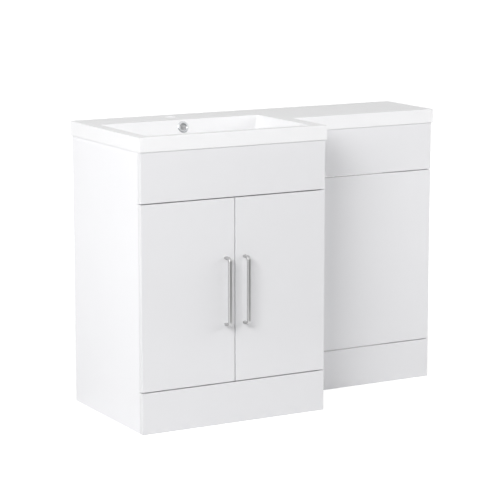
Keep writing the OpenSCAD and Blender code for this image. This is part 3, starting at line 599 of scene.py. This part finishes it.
def is_shown_edge(e):
    """Upper outline edges except the back one, and the three outer upright corners."""
    a, b = (v.co for v in e.verts)
    if near(a.z, rim_z) and near(b.z, rim_z):
        return on_outline(a) and on_outline(b) and on_outline((a + b) / 2) and not (
            near(a.y, top_hi.y) and near(b.y, top_hi.y))
    upright = near(a.x, b.x) and near(a.y, b.y)
    outer_corners = ((top_lo.x, top_lo.y), (step_x, top_lo.y), (top_hi.x, step_y))
    return upright and any(near(a.x, x) and near(a.y, y) for x, y in outer_corners)


print("outer edges:", pick(bowl, "EDGE", is_shown_edge))
round_off(EDGE_R, segments=5)
print("foot edges:", pick(bowl, "EDGE", lambda e: all(
    near(v.co.z, rim_z - skirt_h) and on_outline(v.co, EDGE_R) for v in e.verts)
    and not all(near(v.co.y, top_hi.y) for v in e.verts)
    and len({round(f.normal.z) for f in e.link_faces}) == 2))
round_off(FOOT_EDGE, segments=2)

# %% [markdown]
# ## The cast top, step 5: holes, and the passage for the overflow
#
# Water that reaches the overflow runs down a passage behind the bowl and forwards to the waste. It
# is cast in, so its outside is joined to the bowl and its inside is cut out, as are the tap hole,
# the overflow hole and the seat of the waste. The tap hole's cutter has a flared neck, which gives
# the hole the soft edge of a moulded one.

# %% Blocks and turned shapes
def add_block(lo, hi):
    """A block between two opposite corners, as a tool for joining or cutting."""
    deselect()
    lo, hi = Vector(lo), Vector(hi)
    bpy.ops.mesh.primitive_cube_add(size=1, location=(lo + hi) / 2)
    block = bpy.context.object
    block.scale = hi - lo
    settle()
    return block


def turned(name, profile, foot=(0, 0, 0), axis=(0, 0, 1), sides=64):
    """Lathe work. The profile is a list of radius and height in millimetres, turned about an axis
    that starts at foot."""
    deselect()
    bpy.ops.mesh.primitive_plane_add(size=MM, location=(profile[0][0] * MM, 0, profile[0][1] * MM))
    piece = bpy.context.object
    piece.name = piece.data.name = name
    settle()
    edit(piece)
    bpy.ops.mesh.select_mode(type="VERT")
    bpy.ops.mesh.select_all(action="SELECT")
    bpy.ops.mesh.merge(type="CENTER")
    for (r0, z0), (r1, z1) in zip(profile, profile[1:]):
        extrude(x=(r1 - r0) * MM, z=(z1 - z0) * MM)
    bpy.ops.mesh.select_all(action="SELECT")
    bpy.ops.mesh.spin(steps=sides, angle=math.tau, center=(0, 0, 0), axis=(0, 0, 1))
    weld()
    make_active(piece)
    piece.rotation_euler = Vector(axis).to_track_quat("Z", "Y").to_euler()
    piece.location = foot
    settle()
    return piece


def combine(piece, tool, operation):
    """Joins a tool body to the piece, or cuts it out, and takes the tool away."""
    apply_modifier(piece, "BOOLEAN", object=tool, operation=operation, solver="EXACT")
    bpy.data.objects.remove(tool)


# %% Passage, bosses and holes
PASSAGE_W, PASSAGE_T, PASSAGE_WALL = 28 * MM, 9 * MM, 6 * MM
PASSAGE_BEHIND_RIM, PASSAGE_BELOW_FLOOR, RUN_H = 5 * MM, 22 * MM, 8 * MM
TAP_TO_BACK, WASTE_TO_RIM, OVERFLOW_BELOW_RIM = 55 * MM, 110 * MM, 22 * MM

passage_y = bowl_hi.y + PASSAGE_BEHIND_RIM
passage_z = bowl_lo.z - PASSAGE_BELOW_FLOOR
tap = Vector((mid_x, top_hi.y - TAP_TO_BACK, rim_z))
waste = Vector((mid_x, bowl_hi.y - WASTE_TO_RIM, bowl_lo.z))
overflow = Vector((mid_x, bowl_hi.y - OVERFLOW_BELOW_RIM * math.sin(wall_tilt),
                   rim_z - OVERFLOW_BELOW_RIM * math.cos(wall_tilt)))
overflow_axis = Vector((0, -math.cos(wall_tilt), math.sin(wall_tilt)))


def passage_tools(grow, top_z, lift=0.0):
    """The upright part and the run to the waste, grown by a wall. The run's underside is lifted a
    little, because a boolean is safer when no faces lie in one plane."""
    half, back = PASSAGE_W / 2 + grow, passage_y + PASSAGE_T + grow
    low = passage_z - grow
    return (add_block((mid_x - half, passage_y - grow, low + lift), (mid_x + half, back, top_z)),
            add_block((mid_x - half + lift, waste.y + 1.3 * MM, low + 2 * lift),
                      (mid_x + half - lift, back - lift, passage_z + RUN_H + grow)))


def disc(radius, low, high):
    """The profile of a plain disc, for joining or cutting."""
    return [(0, low), (radius, low), (radius, high), (0, high)]


TAP_R, FLARE_R = 17.5, 2
LIFT = 0.3 * MM

mouth_r = TAP_R + FLARE_R
flare = [(mouth_r - FLARE_R * math.sin(math.radians(a)),
          -FLARE_R + FLARE_R * math.cos(math.radians(a))) for a in range(0, 91, 15)]
combine(bowl, turned("tap_cut", [(0, 2), (mouth_r, 2)] + flare + [(TAP_R, -60), (0, -60)], tap),
        "DIFFERENCE")
for tool in passage_tools(PASSAGE_WALL, rim_z - deck_t + 3 * MM, LIFT):
    combine(bowl, tool, "UNION")
combine(bowl, turned("boss", disc(33, -28, -3.5), waste), "UNION")
for tool in passage_tools(0, rim_z - deck_t - PASSAGE_WALL, LIFT):
    combine(bowl, tool, "DIFFERENCE")
combine(bowl, turned("overflow_cut", disc(11.5, -14.5, 4), overflow, overflow_axis), "DIFFERENCE")
combine(bowl, turned("waste_cut", [(0, -40), (22.45, -40), (22.45, -3), (32.5, -3), (32.5, 20),
                                   (0, 20)], waste), "DIFFERENCE")
print("the top has", len(bowl.data.polygons), "faces")

# %% [markdown]
# ## Finishing a piece
#
# Curved faces are shaded smooth and flat ones kept flat. Weighted normals let the big flat faces
# rule over the narrow round-overs beside them, so that a deck doesn't look domed near its edges.
# Then the piece gets its finish, stands for its node of the frame, and rides on that node's body.

# %% Smoothing, finish and body
def open_edges(piece):
    """How many edges don't join exactly two faces. A closed skin has none."""
    mesh = bmesh.new()
    mesh.from_mesh(piece.data)
    count = sum(not e.is_manifold for e in mesh.edges)
    mesh.free()
    return count


def finish_piece(piece, node, smooth_angle=35):
    make_active(piece)
    bpy.ops.object.shade_smooth_by_angle(angle=math.radians(smooth_angle))
    apply_modifier(piece, "WEIGHTED_NORMAL", keep_sharp=True)
    piece.data.materials.clear()
    piece.data.materials.append(FINISHES[slot_of[node]])
    deselect()
    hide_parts(node)
    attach(piece, frame["nodes"][node]["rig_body"])
    print(piece.name, "has", len(piece.data.polygons), "faces and", open_edges(piece), "open edges")


finish_piece(bowl, "basin_top")

# %% [markdown]
# ## Overflow ring, waste and plug
#
# These are chromed brass, turned on a lathe, so each is one profile spun round its axis. The ring
# has a soft lip, the waste a flat flange and a threaded tail, and the plug a shallow dome. The
# thread is drawn as rings, which at its 2 mm pitch looks the same as a helix.

# %% Overflow ring
SLEEVE = -4
ring = turned("overflow_ring_turned", [
    (10.5, SLEEVE), (10.5, 1.2), (10.8, 1.75), (11.5, 2.1), (12.4, 2.2), (14.0, 2.15), (15.6, 1.85),
    (16.8, 1.3), (17.35, 0.75), (17.5, 0.2), (11.4, 0.2), (11.4, SLEEVE), (10.5, SLEEVE)],
    overflow, overflow_axis, sides=72)
finish_piece(ring, "overflow_ring")

# %% Waste with its flange, tail and cross bar
BORE_R, TAIL_R, TAIL_CORE_R = 17.95, 20.95, 20.2
THREAD_TOP, THREAD_TURNS, THREAD_PITCH = -45.5, 17, 2.0

flange_face = (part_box("waste_body")[1].z - waste.z) / MM
tail_foot = (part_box("waste_body")[0].z - waste.z) / MM
thread = []
for turn in range(THREAD_TURNS):
    start = THREAD_TOP - THREAD_PITCH * turn
    thread += [(TAIL_R, start), (TAIL_CORE_R, start - THREAD_PITCH / 2)]
waste_profile = [
    (BORE_R, tail_foot), (BORE_R, flange_face - 1.4), (18.9, flange_face - 0.35),
    (19.9, flange_face), (29.9, flange_face), (30.9, flange_face - 0.3), (31.4, flange_face - 1.0),
    (31.5, flange_face - 2.0), (TAIL_R, flange_face - 2.0), (TAIL_R, -42), (19.95, -42.3),
    (19.95, -43.2), (TAIL_R, -43.5)] + thread + [
    (TAIL_R, tail_foot + 3), (20.3, tail_foot), (BORE_R, tail_foot)]
waste_body = turned("waste_turned", waste_profile, waste, sides=72)
# the slot lets in what comes from the overflow, and the bar carries the hub of the plug's stem
slot_lo, slot_hi = Vector((-10, 9, -22)) * MM, Vector((10, 40, -14)) * MM
bar_lo, bar_hi = Vector((-18.5, -3, -40)) * MM, Vector((18.5, 3, -34)) * MM
combine(waste_body, add_block(waste + slot_lo, waste + slot_hi), "DIFFERENCE")
combine(waste_body, add_block(waste + bar_lo, waste + bar_hi), "UNION")
combine(waste_body, turned("hub", disc(7, -40.2, -33.8), waste, sides=32), "UNION")
combine(waste_body, turned("hub_bore", disc(4.05, -45, -30), waste, sides=32), "DIFFERENCE")
finish_piece(waste_body, "waste_body")

# %% Plug with its stem
plug_foot = (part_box("waste_plug")[0].z - waste.z) / MM
plug_crown = (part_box("waste_plug")[1].z - waste.z) / MM
plug = turned("waste_plug_turned", [
    (0, plug_crown), (6, plug_crown - 0.06), (12, plug_crown - 0.3), (17, plug_crown - 0.75),
    (20, plug_crown - 1.3), (21.4, plug_crown - 2.0), (22, plug_crown - 3.0), (22, flange_face),
    (4, flange_face), (4, plug_foot + 0.6), (3.4, plug_foot), (0, plug_foot)], waste, sides=72)
finish_piece(plug, "waste_plug")

# %% [markdown]
# ## Bent handles
#
# Each handle is one flat bar bent twice. It is made the same way: the foot's outline on the door is
# pulled out, spun round the bend, pulled down, and spun and pulled back. Its long edges get a small
# round, which is what catches the light. The second handle is a copy with its own mesh.

# %% One bent bar
BAR_W, BAR_T, BEND_R = 10 * MM, 8 * MM, 14 * MM
BAR_EDGE = 2 * MM

lo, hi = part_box("left_handle")
bar_x = (lo.x + hi.x) / 2
deselect()
bpy.ops.mesh.primitive_plane_add(size=1, location=(bar_x, hi.y, hi.z - BAR_T / 2),
                                 rotation=(math.pi / 2, 0, 0))
handle = bpy.context.object
handle.name = handle.data.name = "left_handle_bent"
handle.scale = (BAR_W, BAR_T, 1)
settle()
edit(handle)
pick(handle, "FACE", lambda f: True)
reach = hi.y - lo.y - BEND_R
extrude(y=-reach)
bpy.ops.mesh.spin(steps=10, angle=math.pi / 2, center=(bar_x, hi.y - reach, hi.z - BEND_R),
                  axis=(-1, 0, 0))
extrude(z=-(hi.z - lo.z - 2 * BEND_R))
bpy.ops.mesh.spin(steps=10, angle=math.pi / 2, center=(bar_x, hi.y - reach, lo.z + BEND_R),
                  axis=(-1, 0, 0))
extrude(y=reach)
weld()
deselect()
print("the bar spans", [round(d / MM, 1) for d in handle.dimensions], "mm, open edges:",
      open_edges(handle))

# %% Its edges, and the second handle
edit(handle)
print("long edges:", pick(handle, "EDGE", lambda e: e.calc_face_angle(0) > 1
                          and not all(near(v.co.y, hi.y) for v in e.verts)))
round_off(BAR_EDGE, segments=4)
make_active(handle)
bpy.ops.object.duplicate()
second = bpy.context.object
second.name = second.data.name = "right_handle_bent"
second.location.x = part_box("right_handle")[0].x - lo.x
settle()
finish_piece(handle, "left_handle")
finish_piece(second, "right_handle")

# %% [markdown]
# ## Screws
#
# Every screw on the unit is a pan head with a cross recess. One is turned for each length, its
# recess is cut with two crossed blocks, and copies go where the frame's plain screws are. A plain
# screw's solid tells its stance: its long side is its axis, and its wider end is the head.

# %% Reading where the frame's small solids are
def solids_of(node):
    """The points of each separate solid of a node, found in a merged copy of its mesh. The solids
    come in the order of the mesh, so that every run gives the same list."""
    mesh = bmesh.new()
    mesh.from_mesh(frame["nodes"][node].data)
    bmesh.ops.remove_doubles(mesh, verts=mesh.verts, dist=0.01 * MM)
    waiting, solids = set(mesh.verts), []
    for first in mesh.verts:
        if first not in waiting:
            continue
        waiting.remove(first)
        reached, solid = [first], []
        while reached:
            vert = reached.pop()
            solid.append(vert.co.copy())
            joined = {e.other_vert(vert) for e in vert.link_edges} & waiting
            waiting -= joined
            reached += joined
        solids.append(solid)
    mesh.free()
    return solids


def corners(points):
    return (Vector(min(p[k] for p in points) for k in range(3)),
            Vector(max(p[k] for p in points) for k in range(3)))


def stance(points):
    """The middle of a screw's head face and the direction of its tip."""
    lo, hi = corners(points)
    k = max(range(3), key=lambda i: hi[i] - lo[i])
    mid = (lo + hi) / 2
    axis = Vector([float(i == k) for i in range(3)])

    def width(end):
        return max((p - mid - (p - mid).dot(axis) * axis).length for p in points if near(p[k], end))

    head_low = width(lo[k]) > width(hi[k])
    mid[k] = lo[k] if head_low else hi[k]
    return mid, axis if head_low else -axis


def copies(template, name, stances):
    """One piece of copies of the template, whose z axis turns to each direction."""
    made = []
    for foot, axis in stances:
        make_active(template)
        bpy.ops.object.duplicate()
        copy = bpy.context.object
        copy.rotation_euler = axis.to_track_quat("Z", "Y").to_euler()
        copy.location = foot
        settle()
        made.append(copy)
    bpy.data.objects.remove(template)
    return join(made, name)


# %% Screws of every length
HEAD_T, CORE_SHARE = 1.5, 0.74
HANDLE_SCREW_R, WOOD_SCREW_R = 2.0, 1.9


def cut_cross(piece, reach, half_width, depth):
    """A cross recess in the face at z = 0, in millimetres. z runs into the piece. The second arm is
    a little smaller, so that no two cuts share a plane."""
    for half_x, half_y in ((reach, half_width), (half_width * 0.98, reach * 0.99)):
        combine(piece, add_block(Vector((-half_x, -half_y, -1)) * MM,
                                 Vector((half_x, half_y, depth)) * MM), "DIFFERENCE")


def screw_template(length, radius):
    """A pan head on a thread, with the head's face at z = 0."""
    profile = [(0, 0), (1.5, 0.02), (2.7, 0.22), (3.5, 0.75), (3.8, HEAD_T), (radius, HEAD_T)]
    z = HEAD_T + 2
    while z < length - 3:
        profile += [(radius, z), (radius * CORE_SHARE, z + THREAD_PITCH / 2)]
        z += THREAD_PITCH
    profile += [(radius, length - 2.2), (0, length)]
    screw = turned("screw", profile, sides=24)
    cut_cross(screw, reach=2.1, half_width=0.45, depth=1.0)
    return screw


for node in ("front_screws", "block_screws", "left_handle_screws", "right_handle_screws",
             "hinge_plate_screws", "panel_socket_screws", "left_cup_screws", "right_cup_screws"):
    solids = solids_of(node)
    lo, hi = corners(solids[0])
    # rounded, so that noise in a last digit can't add or drop a turn of the thread
    length = round(max(hi - lo) / MM, 2)
    template = screw_template(length, HANDLE_SCREW_R if "handle" in node else WOOD_SCREW_R)
    screws = copies(template, node + "_cross_head", [stance(points) for points in solids])
    finish_piece(screws, node)

# %% [markdown]
# ## Cam discs and connecting screws
#
# The boards are drawn together by cams: a zinc disc in the board that a quarter turn locks onto a
# bolt in the gable. Its face has a cross recess and a notch that points at the bolt. The cabinets
# are joined to each other by sleeve screws, whose wide flat heads lie on both gables.

# %% Cam discs
CAM_R, CAM_LEN = 7.4, 12.0
BACK_RAIL_ZONE = 20 * MM

cam = turned("cam", [(0, 0), (6.8, 0), (7.2, 0.15), (CAM_R, 0.6), (CAM_R, CAM_LEN), (0, CAM_LEN)],
             sides=40)
cut_cross(cam, reach=4.2, half_width=0.9, depth=2.4)
combine(cam, add_block(Vector((5.4, -0.6, -1)) * MM, Vector((8.4, 0.6, 0.7)) * MM), "DIFFERENCE")
# a cam's face is under a flat board, on the front of a back rail, or on the back of a front rail
cam_stances = []
for points in solids_of("cam_discs"):
    lo, hi = corners(points)
    mid = (lo + hi) / 2
    if near(hi.z - lo.z, CAM_LEN * MM, 0.1 * MM):
        cam_stances.append((Vector((mid.x, mid.y, lo.z)), Vector((0, 0, 1))))
    elif mid.y > top_hi.y - BACK_RAIL_ZONE:
        cam_stances.append((Vector((mid.x, lo.y, mid.z)), Vector((0, 1, 0))))
    else:
        cam_stances.append((Vector((mid.x, hi.y, mid.z)), Vector((0, -1, 0))))
finish_piece(copies(cam, "cam_discs_cross", cam_stances), "cam_discs")

# %% Sleeve screws between the cabinets
sleeve_solids = solids_of("cabinet_connectors")
lo, hi = corners(sleeve_solids[0])
sleeve_len, head_r = max(hi - lo) / MM, (hi.z - lo.z) / 2 / MM
head_face = [(0, 0), (head_r - 1.2, 0), (head_r - 0.4, 0.2), (head_r, 0.8), (head_r, 2)]
sleeve = turned("sleeve", head_face + [(4, 2), (4, sleeve_len - 2)]
                + [(r, sleeve_len - z) for r, z in reversed(head_face)], sides=40)
cut_cross(sleeve, reach=3.0, half_width=0.6, depth=1.4)
sleeve_stances = []
for points in sleeve_solids:
    lo, hi = corners(points)
    sleeve_stances.append((Vector((lo.x, (lo.y + hi.y) / 2, (lo.z + hi.z) / 2)), Vector((1, 0, 0))))
finish_piece(copies(sleeve, "sleeve_screws", sleeve_stances), "cabinet_connectors")

# %% [markdown]
# ## Soft edges for boards and fittings
#
# The boards, nylon blocks and pressed steel parts have their true shape in the frame, but with
# edges of no radius, which real ones never have: banding is scraped to 0.5 mm, moulded nylon is
# rounder, and pressed steel sharper. A merged copy of the node gets a Bevel modifier of that size.

# %% Softened copies of nodes
def softened(node, radius, segments=2):
    mesh = frame["nodes"][node].data.copy()
    piece = bpy.data.objects.new(node + "_soft", mesh)
    mesh.name = piece.name
    bpy.context.scene.collection.objects.link(piece)
    edit(piece)
    bpy.ops.mesh.select_all(action="SELECT")
    bpy.ops.mesh.remove_doubles(threshold=0.01 * MM)
    bpy.ops.mesh.dissolve_limited(angle_limit=math.radians(0.5))
    apply_modifier(piece, "BEVEL", width=radius, segments=segments, limit_method="ANGLE",
                   angle_limit=math.radians(40), use_clamp_overlap=True)
    finish_piece(piece, node)


BANDING_R, NYLON_R, STEEL_R = 0.5 * MM, 1.2 * MM, 0.25 * MM
for node in ("basin_left_gable", "basin_right_gable", "basin_base", "basin_front_rail",
             "basin_back_rail_top", "basin_back_rail_bottom", "shelf", "cistern_left_gable",
             "cistern_right_gable", "cistern_front_rail", "cistern_back_rail_top",
             "cistern_back_rail_bottom"):
    softened(node, BANDING_R)
for node in ("plinth_blocks", "panel_sockets", "panel_studs"):
    softened(node, NYLON_R, segments=3)
for node in ("hinge_plates", "hinge_arms", "waste_nut"):
    softened(node, STEEL_R)

# %% [markdown]
# ## Floor, world and lamps
#
# The unit stands on a plain pale floor in a white studio. The world is white where the camera or a
# reflection looks at it, and a dim grey where it only lights things. The light comes from five soft
# boxes. The key stands to the left of the front and darkens the cistern cabinet beside the step.
# One more lights the left side, two weaker ones on the right keep the fronts from going flat, and
# one behind is for the views of the back. Only the key shows in reflections, because the others
# would turn the glossy top white when it is seen from a side or from behind. A grey card stands low
# in front on the right where only reflections see it: without it the handles mirror nothing but
# white, and metal that mirrors only white doesn't look like metal.

# %% Floor
FLOOR_REACH = 30
GLOW_NEAR, NEAR_END, FAR_START = 0.62, 0.8, 2.5


def looked_at(material):
    """1 where the camera, a reflection or clear glass looks, and 0 for light that only falls."""
    camera_ray, glossy_ray, clear_ray = (
        add(material, "LightPath", {}, output=name)
        for name in ("Is Camera Ray", "Is Glossy Ray", "Is Transmission Ray"))
    seen = add(material, "Math", {0: camera_ray, 1: glossy_ray}, operation="MAXIMUM")
    return add(material, "Math", {0: seen, 1: clear_ray}, operation="MAXIMUM")


floor = add_sheet("studio_floor", (-FLOOR_REACH, -FLOOR_REACH), (FLOOR_REACH, FLOOR_REACH), 0)
floor_paint, place = new_material("painted_studio_floor")
seen = looked_at(floor_paint)
paint = add(floor_paint, "BsdfDiffuse", {"Color": linear("#D8D8D8")})
# the glow is weaker round the unit, where the floor has to show a shadow, and whole far away
away = add(floor_paint, "VectorMath", {0: place}, "Value", operation="LENGTH")
level = add(floor_paint, "MapRange", {"Value": away, "From Min": NEAR_END, "From Max": FAR_START,
                                      "To Min": GLOW_NEAR, "To Max": 1.0}, "Result")
glow_strength = add(floor_paint, "Math", {0: seen, 1: level}, operation="MULTIPLY")
glow = add(floor_paint, "Emission", {"Color": linear("#FFFFFF"), "Strength": glow_strength})
both = add(floor_paint, "AddShader", {0: paint, 1: glow})
add(floor_paint, "OutputMaterial", {"Surface": both})
floor.data.materials.append(floor_paint)
deselect()

# %% World
AMBIENT = 0.2

world = bpy.data.worlds.new("white_studio")
world.use_nodes = True
world.node_tree.nodes.clear()
bpy.context.scene.world = world
level = add(world, "MapRange", {"Value": looked_at(world), "To Min": AMBIENT, "To Max": 1.0},
            "Result")
sky = add(world, "Background", {"Color": linear("#FFFFFF"), "Strength": level})
add(world, "OutputWorld", {"Surface": sky})
print("floor and world made, with", AMBIENT, "of the white as ambient light")

# %% Lamps
LAMP_DISTANCE, LAMP_W, LAMP_H = 5.0, 2.4, 2.0
unit_mid = Vector((0, 0, 0.55))


def add_lamp(name, azimuth, elevation, power, in_reflections=False):
    """A soft box that looks at the unit. Azimuth 0 is in front of it and -90 on its left."""
    a, e = math.radians(azimuth), math.radians(elevation)
    away = Vector((math.sin(a) * math.cos(e), -math.cos(a) * math.cos(e), math.sin(e)))
    deselect()
    bpy.ops.object.light_add(type="AREA", location=unit_mid + LAMP_DISTANCE * away)
    lamp = bpy.context.object
    lamp.name = lamp.data.name = name
    lamp.rotation_euler = (-away).to_track_quat("-Z", "Y").to_euler()
    lamp.data.shape, lamp.data.size, lamp.data.size_y = "RECTANGLE", LAMP_W, LAMP_H
    lamp.data.energy = power
    lamp.visible_glossy = in_reflections


add_lamp("left_front_key", -50, 26, 150, in_reflections=True)
add_lamp("left_side", -100, 22, 47)
add_lamp("right_front_fill", 35, 22, 42)
add_lamp("right_fill", 65, 18, 74)
add_lamp("back_fill", 180, 5, 85)

# %% Grey card for the handles
CARD_AZIMUTH, CARD_W, CARD_H = math.radians(29), 1.2, 0.75
CARD_MIDDLE = (0.24, -1.1, CARD_H / 2)

deselect()
bpy.ops.mesh.primitive_plane_add(size=1, location=CARD_MIDDLE,
                                 rotation=(math.pi / 2, 0, CARD_AZIMUTH))
card = bpy.context.object
card.name = card.data.name = "grey_card"
card.scale = (CARD_W, CARD_H, 1)
card.visible_camera = card.visible_diffuse = card.visible_shadow = False
card.visible_transmission = False
card_paper = new_material("grey_paper_card")[0]
even_grey = add(card_paper, "Emission", {"Color": linear("#8C8C8C"), "Strength": 1.0})
add(card_paper, "OutputMaterial", {"Surface": even_grey})
card.data.materials.append(card_paper)
print("the card measures", CARD_W, "by", CARD_H, "m")

# %% [markdown]
# ## Closing
#
# The view transform is Standard, so that a colour shows as it was written.

# %% Colour setting and finish
bpy.context.scene.view_settings.view_transform = "Standard"
deselect()
